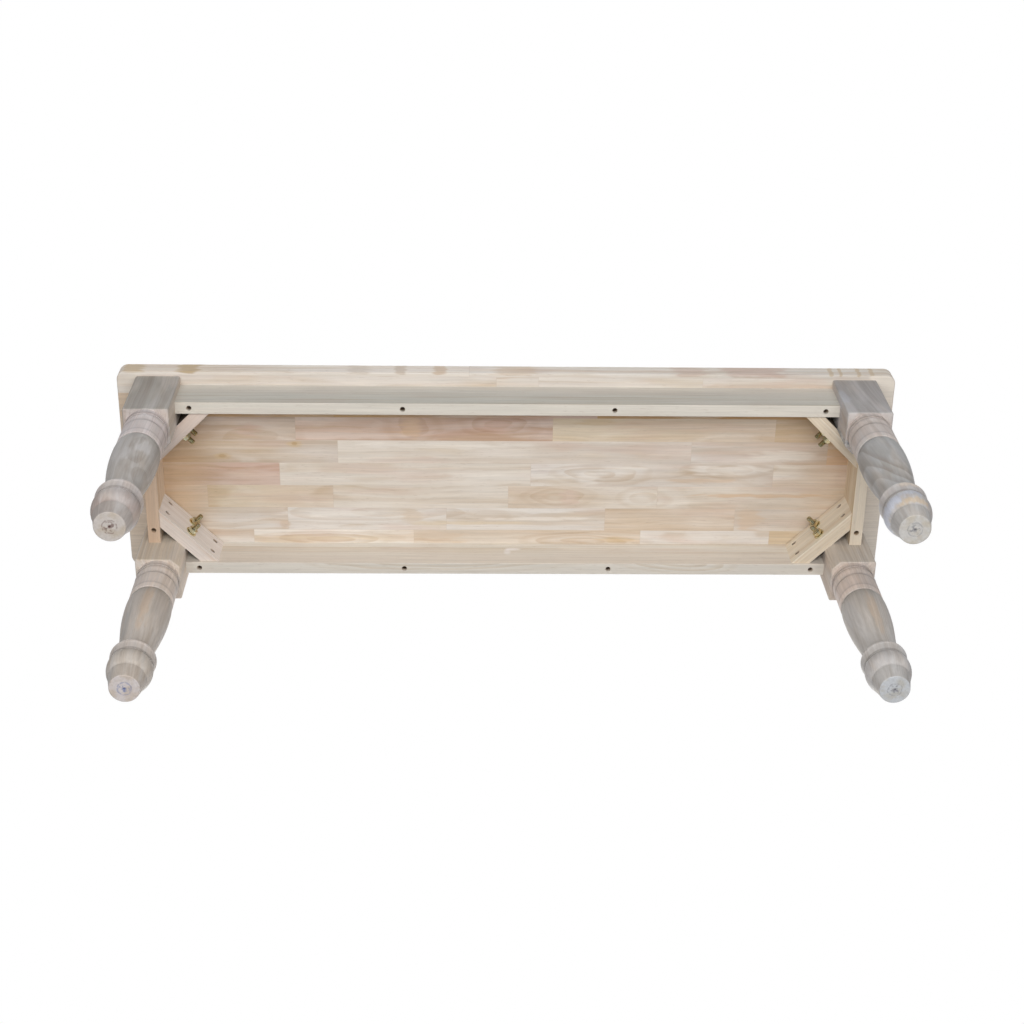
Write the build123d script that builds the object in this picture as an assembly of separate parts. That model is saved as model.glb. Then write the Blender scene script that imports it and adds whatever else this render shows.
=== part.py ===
from build123d import *

import os
from math import cos, radians, sqrt

# Dining bench: a glued stave seat on an apron frame, with four turned legs bolted to corner blocks.
# Millimetres. +Z is up, +X runs along the seat, the front is at -Y, and the origin is on the floor
# under the middle of the seat.

# Seat
seat_height = 476.0  # floor to the seat's top
seat_length = 1200.0
seat_depth = 335.0
seat_thickness = 32.0
seat_corner_radius = 15.0
seat_top_round = 4.0
seat_bottom_round = 2.5

# Staves: rows run along the seat, front to back, and the last row takes what is left of the depth.
front_lip_width = 6.0
second_row_width = 30.0
stave_width = 39.0
least_row_width = 8.0
least_stave_length = 40.0
row_stave_lengths = [  # from the left end; each row's last stave runs on to the right end
    [127.0, 413.0, 474.0],
    [582.0, 65.0, 254.0],
    [330.0, 410.0],
    [270.0, 401.0, 349.0],
    [335.0, 555.0, 215.0],
    [243.0, 395.0, 384.0],
    [128.0, 198.0, 277.0, 237.0],
    [253.0, 252.0, 253.0, 208.0],
    [198.0, 255.0, 363.0, 208.0],
    [410.0, 380.0],
]

# Apron frame
apron_height = 69.0
apron_thickness = 19.0
apron_edge_round = 1.0
long_apron_setback = 14.0  # post's outer face to the long apron's outer face
end_apron_setback = 12.5  # post's outer face to the end apron's outer face

# Leg posts
post_width = 68.0
post_length = 127.0  # square part, down from the seat's underside
post_inset_x = 29.5  # seat end to the post's outer face
post_inset_y = 8.0  # seat front or back edge to the post's outer face
post_edge_round = 3.0
post_end_ease = 1.2
post_flat_reach = 39.0  # leg axis to the flat on the post's inner corner

# Turned part of the leg, floor to post: lengths along the leg, and cuts into the square blank
foot_round = 1.0
foot_cut = 12.0
cone_length = 24.0
cone_cut = 7.0
line_length = 2.0
line_cut = 1.2  # incised line, below the cone's top
bulb_length = 31.0
bulb_full_rise = 20.0  # up from the bulb's lower end
bulb_cut = 1.0
bulb_top_cut = 2.2
groove_length = 3.0
groove_cut = 4.2
ring_flare_length = 13.0
ring_low_cut = 2.4
ring_flare_cut = 1.2
ring_lip_length = 9.0
ring_lip_cut = 0.6
ring_top_cut = 3.0
cove_length = 15.0
neck_cut = 8.6
vase_shoulder_length = 28.0  # vase's fullest place up to its top
vase_top_cut = 2.8
cove_bend = 0.35  # how far along each curve its bend lies, as a share of that curve's length
neck_bend = 0.27
vase_bend = 0.54
shoulder_bend = 0.75
collar_length = 45.0
collar_cut = 1.0
collar_round = 1.2
bead_length = 20.0
bead_end_cut = 2.2
bead_cut = 0.7
shoulder_length = 9.0
shoulder_cut = 1.0
core_cut = 6.0  # core that runs up into the post
core_rise = 6.0
centre_mark_diameter = 4.0
centre_mark_depth = 3.5

# Corner blocks
block_thickness = 20.5
block_height = 62.0
block_seat_gap = 2.0

# Hanger bolts, washers and nuts
bolt_diameter = 8.0
bolt_length = 80.0
bolt_projection = 19.5  # past the block's inner face
bolt_spacing = 31.0
bolt_tip_round = 2.6
bolt_hole_gap = 0.5  # all round, in the block
washer_diameter = 18.0
washer_thickness = 1.6
washer_gap = 0.3  # all round, on the bolt
nut_width = 13.0  # across the flats
nut_height = 6.5
nut_chamfer = 1.0

# Corner block screws, four to a block, square to the aprons
block_screw_diameter = 3.6
block_screw_head_diameter = 6.0
block_screw_head_height = 2.4
block_screw_spacing = 33.0
block_screw_inset = 11.0  # block's inner tip to the screw's axis, along the apron
block_screw_seat = 5.5  # wood between the screw's head and the apron
block_screw_bite = 13.0  # into the apron
block_pocket_gap = 0.3  # all round the head

# Seat screws, up through the aprons
seat_screw_diameter = 4.0
seat_screw_head_diameter = 7.4
seat_screw_head_height = 3.2
seat_screw_bite = 20.0  # into the seat
seat_screw_end_gap = 21.0  # apron's end to the first screw
seat_screws_per_long_apron = 4
seat_screws_per_end_apron = 2
counterbore_gap = 0.3  # all round the head
counterbore_depth = 40.0

thread_gap = 0.1  # all round a screw or bolt in its thread
tip_gap = 1.0  # past a screw's or bolt's buried end

# Places worked out from the sizes above
seat_bottom = seat_height - seat_thickness
blank_radius = post_width / 2
leg_x = seat_length / 2 - post_inset_x - blank_radius
leg_y = seat_depth / 2 - post_inset_y - blank_radius
post_bottom = seat_bottom - post_length
apron_bottom = seat_bottom - apron_height
apron_middle = seat_bottom - apron_height / 2
long_apron_outer = leg_y + blank_radius - long_apron_setback
long_apron_inner = long_apron_outer - apron_thickness
end_apron_outer = leg_x + blank_radius - end_apron_setback
end_apron_inner = end_apron_outer - apron_thickness
long_apron_end = leg_x - blank_radius
end_apron_end = leg_y - blank_radius
block_top = seat_bottom - block_seat_gap
block_middle = block_top - block_height / 2
block_inner_reach = post_flat_reach + block_thickness  # leg axis to the block's inner face

# Every corner is made at the back right and mirrored to the others
corners = {
    "back_right": (1, 1),
    "back_left": (-1, 1),
    "front_right": (1, -1),
    "front_left": (-1, -1),
}


def to_corner(shape, corner):
    """The back right corner's shape, mirrored to the corner named."""
    side_x, side_y = corners[corner]
    if side_x < 0:
        shape = mirror(shape, about=Plane.YZ)
    if side_y < 0:
        shape = mirror(shape, about=Plane.XZ)
    return shape


def rod(diameter, start, direction, length):
    """A cylinder from a start point along a direction."""
    plane = Plane(origin=start, z_dir=direction)
    return plane * Cylinder(diameter / 2, length, align=(Align.CENTER, Align.CENTER, Align.MIN))


def spread(end, count):
    """Places from -end to end, evenly apart."""
    return [end * (2 * i / (count - 1) - 1) for i in range(count)]


def joint_places(start, end, lengths, least):
    """Joints between start and end, with no piece before the end shorter than least."""
    places = [start]
    for length in lengths:
        if places[-1] + length > end - least:
            break
        places.append(places[-1] + length)
    return places + [end]


# Seat screws: every place where one goes up, as x and y
def seat_screw_places():
    long_y = (long_apron_outer + long_apron_inner) / 2
    end_x = (end_apron_outer + end_apron_inner) / 2
    long_places = spread(long_apron_end - seat_screw_end_gap, seat_screws_per_long_apron)
    end_places = spread(end_apron_end - seat_screw_end_gap, seat_screws_per_end_apron)
    places = [(x, side * long_y) for side in (-1, 1) for x in long_places]
    return places + [(side * end_x, y) for side in (-1, 1) for y in end_places]


def seat_screw(x, y):
    head_top = apron_bottom + counterbore_depth
    head = rod(seat_screw_head_diameter, (x, y, head_top), (0, 0, -1), seat_screw_head_height)
    shank_length = seat_bottom + seat_screw_bite - head_top
    return head + rod(seat_screw_diameter, (x, y, head_top), (0, 0, 1), shank_length)


def seat_screw_hole(x, y):
    """Counterbore up from the apron's lower edge, then the thread's hole on into the seat."""
    mouth = rod(
        seat_screw_head_diameter + 2 * counterbore_gap,
        (x, y, apron_bottom),
        (0, 0, 1),
        counterbore_depth,
    )
    thread_length = seat_bottom + seat_screw_bite + tip_gap - apron_bottom
    thread = rod(seat_screw_diameter + 2 * thread_gap, (x, y, apron_bottom), (0, 0, 1), thread_length)
    return mouth + thread


seat_screw_holes = [seat_screw_hole(x, y) for x, y in seat_screw_places()]


# Seat panel, then its rows of staves
def seat_panel():
    outline = RectangleRounded(seat_length, seat_depth, seat_corner_radius)
    panel = Pos(0, 0, seat_bottom) * extrude(outline, amount=seat_thickness)
    panel = fillet(panel.faces().sort_by(Axis.Z)[-1].edges(), seat_top_round)
    panel = fillet(panel.faces().sort_by(Axis.Z)[0].edges(), seat_bottom_round)
    return panel - seat_screw_holes


def seat_rows():
    """Each row's staves, cut from the finished panel, front row first."""
    panel = seat_panel()
    row_count = int(seat_depth / stave_width) + 2
    widths = [front_lip_width, second_row_width] + [stave_width] * row_count
    row_places = joint_places(-seat_depth / 2, seat_depth / 2, widths, least_row_width)
    rows = []
    for i, (front, back) in enumerate(zip(row_places, row_places[1:])):
        lengths = row_stave_lengths[i % len(row_stave_lengths)]
        ends = joint_places(-seat_length / 2, seat_length / 2, lengths, least_stave_length)
        staves = []
        for left, right in zip(ends, ends[1:]):
            middle = Pos((left + right) / 2, (front + back) / 2, seat_bottom + seat_thickness / 2)
            staves.append(panel & middle * Box(right - left, back - front, seat_thickness))
        rows.append(staves)
    return rows


# Corner block screws: start on the apron's inner face, and the way out of it
def block_diagonal():
    """What x + y comes to on the block's outer and inner faces."""
    axis_sum = leg_x + leg_y
    return axis_sum - sqrt(2) * post_flat_reach, axis_sum - sqrt(2) * block_inner_reach


def block_screw_places():
    inner_sum = block_diagonal()[1]
    tip_x = inner_sum - long_apron_inner
    tip_y = inner_sum - end_apron_inner
    places = []
    for rise in (-block_screw_spacing / 2, block_screw_spacing / 2):
        z = block_middle + rise
        places.append(((tip_x + block_screw_inset, long_apron_inner, z), (0, -1, 0)))
        places.append(((end_apron_inner, tip_y + block_screw_inset, z), (-1, 0, 0)))
    return places


def block_screw(start, way):
    seat = Vector(*start) + Vector(*way) * block_screw_seat
    head = rod(block_screw_head_diameter, seat, way, block_screw_head_height)
    shank = rod(block_screw_diameter, seat, Vector(*way) * -1, block_screw_seat + block_screw_bite)
    return head + shank


def block_screw_hole(start, way):
    """Pocket out through the block's inner face, and the thread's hole into the apron."""
    seat = Vector(*start) + Vector(*way) * block_screw_seat
    pocket = rod(block_screw_head_diameter + 2 * block_pocket_gap, seat, way, block_thickness * 2)
    thread_length = block_screw_seat + block_screw_bite + tip_gap
    thread = rod(block_screw_diameter + 2 * thread_gap, seat, Vector(*way) * -1, thread_length)
    return pocket + thread


block_screw_holes = [block_screw_hole(start, way) for start, way in block_screw_places()]


# Aprons
def apron(length, outer, along_x):
    """A board on its edge between two posts, with its lower edges eased."""
    size = (length, apron_thickness) if along_x else (apron_thickness, length)
    middle = outer - apron_thickness / 2
    place = Pos(0, middle, apron_middle) if along_x else Pos(middle, 0, apron_middle)
    board = place * Box(*size, apron_height)
    run = Axis.X if along_x else Axis.Y
    lower_edges = board.edges().filter_by(run).group_by(Axis.Z)[0]
    board = fillet(lower_edges, apron_edge_round)
    board -= seat_screw_holes
    for corner in corners:
        board -= [to_corner(hole, corner) for hole in block_screw_holes]
    return board


# Legs
def turned_section():
    """Half outline of the turned part, floor to post, as a face beside the leg's axis."""
    cone_top = cone_length
    bulb_low = cone_top + line_length
    bulb_top = bulb_low + bulb_length
    ring_low = bulb_top + groove_length
    flare_top = ring_low + ring_flare_length
    lip_top = flare_top + ring_lip_length
    neck = lip_top + cove_length
    shoulder_low = post_bottom - shoulder_length
    bead_top = shoulder_low - groove_length
    bead_low = bead_top - bead_length
    collar_top = bead_low - groove_length
    collar_low = collar_top - collar_length
    vase_full = collar_low - vase_shoulder_length
    vase_length = vase_full - neck

    def at(cut, height):
        return (blank_radius - cut, height)

    foot_edge = at(foot_cut + foot_round, 0)
    foot_side = at(foot_cut, foot_round)
    cone_edge = at(cone_cut, cone_top)
    line_bottom = at(cone_cut + line_cut, cone_top + line_length / 2)
    bulb_edge = at(cone_cut, bulb_low)
    bulb_end = at(bulb_top_cut, bulb_top)
    groove = at(groove_cut, bulb_top + groove_length / 2)
    flare_low = at(ring_low_cut, ring_low)
    flare_end = at(ring_flare_cut, flare_top)
    lip_end = at(ring_top_cut, lip_top)
    neck_point = at(neck_cut, neck)
    full = at(0, vase_full)
    vase_top = at(vase_top_cut, collar_low)
    collar_foot = at(collar_cut + collar_round, collar_low)
    collar_side = at(collar_cut, collar_low + collar_round)
    collar_shoulder = at(collar_cut, collar_top - collar_round)
    collar_end = at(collar_cut + collar_round, collar_top)
    upper_groove = at(groove_cut, collar_top + groove_length / 2)
    bead_foot = at(bead_end_cut, bead_low)
    bead_end = at(bead_end_cut, bead_top)
    top_groove = at(groove_cut, bead_top + groove_length / 2)
    shoulder_foot = at(shoulder_cut, shoulder_low)
    shoulder_end = at(shoulder_cut, post_bottom)
    core_foot = at(core_cut, post_bottom)
    core_end = at(core_cut, post_bottom + core_rise)
    line = [
        Polyline((0, 0), foot_edge, foot_side, cone_edge, line_bottom, bulb_edge),
        ThreePointArc(bulb_edge, at(bulb_cut, bulb_low + bulb_full_rise), bulb_end),
        ThreePointArc(bulb_end, groove, flare_low),
        Line(flare_low, flare_end),
        ThreePointArc(flare_end, at(ring_lip_cut, flare_top + ring_lip_length / 2), lip_end),
        Bezier(lip_end, at(neck_cut, lip_top + cove_bend * cove_length), neck_point),
        Bezier(
            neck_point,
            at(neck_cut, neck + neck_bend * vase_length),
            at(0, vase_full - vase_bend * vase_length),
            full,
        ),
        Bezier(full, at(0, vase_full + shoulder_bend * vase_shoulder_length), vase_top),
        Polyline(vase_top, collar_foot, collar_side, collar_shoulder, collar_end),
        ThreePointArc(collar_end, upper_groove, bead_foot),
        ThreePointArc(bead_foot, at(bead_cut, (bead_low + bead_top) / 2), bead_end),
        ThreePointArc(bead_end, top_groove, shoulder_foot),
        Polyline(shoulder_foot, shoulder_end, core_foot, core_end, (0, post_bottom + core_rise), (0, 0)),
    ]
    return Plane.XZ * make_face(Curve() + line)


def leg():
    """Post and turned part as one piece, about its own axis, with its flat towards -X and -Y."""
    flat_cut = post_width - sqrt(2) * post_flat_reach
    r = blank_radius
    points = [(r, r), (-r, r), (-r, -r + flat_cut), (-r + flat_cut, -r), (r, -r)]
    outline = make_face(Polyline(*points, close=True))
    square_corners = outline.vertices().sort_by_distance((-r, -r))[2:]
    outline = fillet(square_corners, post_edge_round)
    post = Pos(0, 0, post_bottom) * extrude(outline, amount=post_length)
    post = chamfer(post.faces().sort_by(Axis.Z)[0].edges(), post_end_ease)
    whole = post + revolve(turned_section(), Axis.Z)
    mark = Cone(
        centre_mark_diameter / 2, 0, centre_mark_depth, align=(Align.CENTER, Align.CENTER, Align.MIN)
    )
    return whole - mark


def bolt_places():
    """Middle of each bolt's axis on the leg's own axis."""
    return [(leg_x, leg_y, block_middle + side * bolt_spacing / 2) for side in (-1, 1)]


inward = Vector(-1, -1, 0).normalized()
bolt_reach = block_inner_reach + bolt_projection  # leg axis to the bolt's free tip


def bolt_hole(place):
    """Thread in the leg, and the wider hole through the corner block."""
    buried_end = Vector(*place) + inward * (bolt_reach - bolt_length - tip_gap)
    thread_length = post_flat_reach - (bolt_reach - bolt_length - tip_gap)
    thread = rod(bolt_diameter + 2 * thread_gap, buried_end, inward, thread_length)
    block_face = Vector(*place) + inward * post_flat_reach
    return thread + rod(bolt_diameter + 2 * bolt_hole_gap, block_face, inward, block_thickness)


bolt_holes = [bolt_hole(place) for place in bolt_places()]


def corner_block():
    """Diagonal block whose mitred ends lie on the two aprons."""
    outer_sum, inner_sum = block_diagonal()
    points = [
        (end_apron_inner, inner_sum - end_apron_inner),
        (end_apron_inner, outer_sum - end_apron_inner),
        (outer_sum - long_apron_inner, long_apron_inner),
        (inner_sum - long_apron_inner, long_apron_inner),
    ]
    outline = make_face(Polyline(*points, close=True))
    block = Pos(0, 0, block_top - block_height) * extrude(outline, amount=block_height)
    return block - bolt_holes - block_screw_holes


def hanger_bolt(place):
    start = Vector(*place) + inward * (bolt_reach - bolt_length)
    bolt = rod(bolt_diameter, start, inward, bolt_length)
    free_end = bolt.edges().filter_by(GeomType.CIRCLE).sort_by(Axis((0, 0, 0), inward))[-1]
    return fillet(free_end, bolt_tip_round)


def washer(place):
    face = Vector(*place) + inward * block_inner_reach
    ring = rod(washer_diameter, face, inward, washer_thickness)
    return ring - rod(bolt_diameter + 2 * washer_gap, face, inward, washer_thickness)


def nut(place):
    """Hex nut with its corners turned off at both ends, one flat upward."""
    seat = Vector(*place) + inward * (block_inner_reach + washer_thickness)
    corner_radius = nut_width / 2 / cos(radians(30))
    plane = Plane(origin=seat, x_dir=(0, 0, 1), z_dir=inward)
    hexagon = extrude(RegularPolygon(corner_radius, 6, rotation=30), amount=nut_height)
    turned = Cylinder(corner_radius, nut_height, align=(Align.CENTER, Align.CENTER, Align.MIN))
    turned = chamfer(turned.edges().filter_by(GeomType.CIRCLE), nut_chamfer)
    bore_radius = bolt_diameter / 2 + thread_gap
    bore = Cylinder(bore_radius, nut_height, align=(Align.CENTER, Align.CENTER, Align.MIN))
    return plane * (hexagon & turned - bore)


def write(name, shapes):
    """One file for a node, its solids kept apart."""
    solids = [solid for shape in shapes for solid in shape.solids()]
    export_step(Compound(label=name, children=solids), f"parts/{name}.step")


def in_every_corner(shapes):
    return [to_corner(shape, corner) for corner in corners for shape in shapes]


def main():
    os.makedirs("parts", exist_ok=True)
    for number, staves in enumerate(seat_rows(), start=1):
        write(f"seat_stave_row_{number:02d}", staves)

    back_apron = apron(2 * long_apron_end, long_apron_outer, along_x=True)
    right_apron = apron(2 * end_apron_end, end_apron_outer, along_x=False)
    write("back_apron", [back_apron])
    write("front_apron", [mirror(back_apron, about=Plane.XZ)])
    write("right_apron", [right_apron])
    write("left_apron", [mirror(right_apron, about=Plane.YZ)])

    one_leg = Pos(leg_x, leg_y, 0) * leg() - bolt_holes
    one_block = corner_block()
    for corner in corners:
        write(f"leg_{corner}", [to_corner(one_leg, corner)])
        write(f"corner_block_{corner}", [to_corner(one_block, corner)])

    write("hanger_bolts", in_every_corner([hanger_bolt(place) for place in bolt_places()]))
    write("bolt_washers", in_every_corner([washer(place) for place in bolt_places()]))
    write("bolt_nuts", in_every_corner([nut(place) for place in bolt_places()]))
    block_screws = [block_screw(start, way) for start, way in block_screw_places()]
    write("corner_block_screws", in_every_corner(block_screws))
    write("seat_screws", [seat_screw(x, y) for x, y in seat_screw_places()])


main()
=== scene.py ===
from math import cos, pi, radians, sin, tan

import bpy
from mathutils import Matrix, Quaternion, Vector


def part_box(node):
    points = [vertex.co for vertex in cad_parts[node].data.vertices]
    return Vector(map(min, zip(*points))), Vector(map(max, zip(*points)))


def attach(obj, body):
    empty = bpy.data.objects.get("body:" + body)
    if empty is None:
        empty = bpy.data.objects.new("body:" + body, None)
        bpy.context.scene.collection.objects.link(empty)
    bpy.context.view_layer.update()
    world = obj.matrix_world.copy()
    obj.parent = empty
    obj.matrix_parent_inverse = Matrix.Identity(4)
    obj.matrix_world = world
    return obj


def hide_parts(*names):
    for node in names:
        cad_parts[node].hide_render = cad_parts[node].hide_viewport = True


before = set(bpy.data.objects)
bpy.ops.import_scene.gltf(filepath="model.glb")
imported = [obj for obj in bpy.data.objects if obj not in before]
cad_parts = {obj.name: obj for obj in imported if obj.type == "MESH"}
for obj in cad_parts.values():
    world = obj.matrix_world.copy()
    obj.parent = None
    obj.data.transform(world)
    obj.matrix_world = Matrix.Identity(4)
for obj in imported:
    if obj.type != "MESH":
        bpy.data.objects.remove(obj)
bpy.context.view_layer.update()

# Dining bench seen from beneath: unfinished pale wood with yellow zinc hardware. Lengths are in metres.
# X runs along the bench, Y from its front to its back, Z up. The wood is the CAD frame itself with solid
# wood drawn through it. The hardware is modelled again with threads, chamfers and driver slots. A name that
# ends in STEP holds where a soft step starts and where it is full.
RIGHT, BACK, UP, DOWN = (1, 0, 0), (0, 1, 0), (0, 0, 1), (0, 0, -1)

# Camera
CAMERA_PLACE = Vector((-0.0698, -1.233, -2.184))
CAMERA_AZIMUTH = -3.48  # degrees, 0 looks along +Y
CAMERA_ELEVATION = -63.58
CAMERA_ROLL = -2.89
CAMERA_LENS, CAMERA_SENSOR = 64.71, 36  # mm
CAMERA_CLIP = (0.05, 100)

# Light: two soft lamps below for the side that the camera sees, one behind, a soft sun above, dim cool air
WORLD_WHITE = (1.0, 1.0, 1.0)
AIR_BELOW = (0.28, 0.29, 0.31)
AIR_ABOVE = (0.13, 0.14, 0.16)
AIR_STEP = (-0.5, 0.5)  # how steeply the air is looked at, where it turns from the one to the other
LAMP_COLOUR = (1.0, 0.985, 0.96)
LAMP_SIZE = (1.7, 1.5)
LAMPS = {  # place and power
    "left_lamp": ((-0.7, -1.6, -2.0), 39.6),
    "right_lamp": ((0.7, -1.6, -2.0), 39.6),
    "back_lamp": ((0.0, 2.4, 1.3), 42.0),
}
LAMP_TARGET = (0, 0, 0.4)
SUN_TILT = 6.0  # degrees from straight down, shining a little towards the front
SUN_ANGLE = 35.0
SUN_POWER = 2.5
FLOOR_SIZE = 12.0
FLOOR_COLOUR = (0.86, 0.86, 0.85)

# Wood tones
TONES = {
    "bright": (0.9, 0.825, 0.745),
    "white": (0.79, 0.735, 0.67),
    "pale": (0.71, 0.645, 0.565),
    "shell": (0.7, 0.65, 0.6),
    "linen": (0.63, 0.58, 0.53),
    "cool": (0.61, 0.56, 0.5),
    "cream": (0.68, 0.61, 0.53),
    "honey": (0.665, 0.56, 0.42),
    "sand": (0.64, 0.535, 0.43),
    "pink": (0.63, 0.485, 0.4),
    "dune": (0.61, 0.535, 0.465),
    "dust": (0.575, 0.47, 0.385),
    "clay": (0.595, 0.465, 0.35),
    "umber": (0.53, 0.395, 0.265),
    "brick": (0.53, 0.37, 0.295),
    "tan": (0.62, 0.44, 0.285),
    "shade": (0.545, 0.35, 0.18),
    "rose": (0.575, 0.395, 0.315),
    "ochre": (0.56, 0.41, 0.23),
    "knot": (0.44, 0.29, 0.14),
    "front board": (0.59, 0.57, 0.51),
    "back board": (0.735, 0.7, 0.64),
    "pale edge": (0.645, 0.6, 0.53),
    "left board": (0.735, 0.58, 0.435),
    "left edge": (0.56, 0.4, 0.28),
    "right board": (0.69, 0.57, 0.41),
    "right edge": (0.68, 0.6, 0.49),
    "bounce": (0.67, 0.63, 0.57),
    "cool block": (0.73, 0.645, 0.585),
    "warm block": (0.74, 0.66, 0.54),
    "dull block": (0.645, 0.54, 0.475),
    "glue": (0.44, 0.33, 0.24),
    # bore and pocket are painted shade on the walls of the screw holes
    "bore": (0.13, 0.085, 0.055),
    "pocket": (0.23, 0.165, 0.11),
    # Painted shadow for faces seen only through the narrow gaps between posts and corner blocks
    "gap_shadow": (0.08, 0.06, 0.04),
    "silver": (0.62, 0.61, 0.61),
    # Chalk marks on the back apron, and painted light on a corner block's inner face
    "chalk_and_light": (0.82, 0.79, 0.78),
    "blue": (0.52, 0.55, 0.64),
    "slate": (0.3, 0.3, 0.3),
    "pore": (0.3, 0.2, 0.13),
}
DARK_TINT = (0.8, 0.7, 0.58)  # what a dark growth band does to the tone
BAND_DARKNESS = 0.35
BAND_PALENESS = 0.21
VEIN_DARKNESS = 0.6
END_GRAIN = 0.4
FIBRE_CONTRAST, LINE_CONTRAST = 0.09, 0.15
PORE_STRENGTH = 0.35
WOOD_ROUGHNESS = (0.62, 0.1)  # the middle, and how far to either side
BUMP_DISTANCE, BUMP_STRENGTH = 0.0002, 0.35
BLUSH = (("rose", 0.28), ("ochre", 0.2), ("white", 0.3))  # wide soft changes inside a stave

# Grain, in bands or specks to a metre. Rates are along the grain and across it.
RING_RATE = 260
VEIN_RATE = 150
STREAK_RATES = (2.2, 70)
WANDER_RATES, WANDER_DETAIL = (4.0, 9.0), 3.5
WANDER_REACH = 0.016
BLUSH_RATES, BLUSH_DETAIL = (7.0, 34), 4.0
LINE_RATES = (4.5, 290)
FIBRE_RATES = (14, 520)
PORE_RATES = (65, 1300)
STAVE_SHIFT = 9.0  # how far apart in the log two staves are cut
PITH_TURN = 1.35  # radians, the most that a stave's pith is turned from straight down
PITH_REACH, PITH_SPREAD = 0.07, 0.04  # how far away it is, and by how much that differs
JOINT_STEP = (0.0008, 0.0002)
JOINT_STRENGTH = 0.16

# Soft steps on noise, which goes from 0 to 1
NOISE_MIDDLE = 0.5
BLUSH_STEP = (0.5, 0.68)
DARK_STEP = (0.49, 0.66)
PALE_STEP = (0.5, 0.36)
VEIN_STEP = (0.11, 0.02)  # away from the middle
VEIN_PATCH_STEP = (0.36, 0.6)
PORE_STEP = (0.66, 0.76)

# Marks and loops: soft steps on the distance, 1 at the edge, and the noise that makes them uneven
MARK_STEP = (1.15, 0.5)
MARK_RATES, MARK_UNEVEN = (30, 160), 0.8
LOOP_STEP = (1.1, 0.7)
LOOP_RISE, LOOP_FALL = (0.1, 0.85), (1.0, 0.9)  # of one line, from the line before it
LOOP_RATES, LOOP_UNEVEN = (8, 30), 0.35

# Soft steps on how squarely a face looks one way, 1 being straight that way
FACE_STEP = (0.5, 0.9)
SQUARE_STEP = (0.9, 0.99)
LIP_STEP = (0.2, 0.8)

# Reading the CAD frame
WELD_DIGITS = 6
STAVE_DIGITS = 4
END_FACE = 0.999  # how squarely a stave's end looks along the bench
NEAR_MARGIN = 0.012  # how far outside a piece of wood its screws may start

# Seat rows, front to back: the tone at the left and the right end of each stave. The shade tone, and umber at
# the ends of rows 4 and 5, are painted shade from the aprons and corner blocks.
STAVE_TONES = {
    # Row 1's bright tones hold painted light on the front edge's face
    1: ("bright bright", "bright white", "white pink", "bright bright"),
    2: ("linen linen", "linen linen", "linen cool", "linen cool"),
    3: ("shade tan", "shade rose", "shade shade"),
    4: ("dust dust", "pink brick", "honey sand", "umber umber"),
    5: ("umber dune", "cream dune", "linen dust", "tan shade"),
    6: ("sand rose", "cream cream", "shell dune", "cream pink"),
    7: ("tan sand", "honey sand", "cream cream", "sand cream", "cream sand"),
    8: ("cream shell", "shell shell", "shell shell", "sand sand", "dune sand"),
    9: ("cream shell", "white white", "cream sand", "shell shell", "honey sand"),
    10: ("cream sand", "honey cream", "cream pale"),
}
SEAT_SEED = 3.7  # times the row's number
FRONT_ROWS = 2  # in front of the front apron

# Rows whose lower face holds painted shade, and whose other faces get paler tones of their own
UPPER_TONES = {
    3: ("honey sand", "sand cream", "cream honey"),
    5: ("clay dune", "cream dune", "linen dust", "sand honey"),
}

# The underside is paler outside the end aprons, and just inside them it has painted warm shade: paleness and
# painted shade at the left end and at the right, and how far from the end each sets in
SEAT_ENDS = ((0.5, 0.48), (0.95, 0.18))
OVERHANG_STEP = (0.042, 0.0336)
END_SHADE_STEP = (0.16, 0.09)
LIP_BENEATH = 0.76  # how bright the front lip is from below, against its face, which holds painted light
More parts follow.
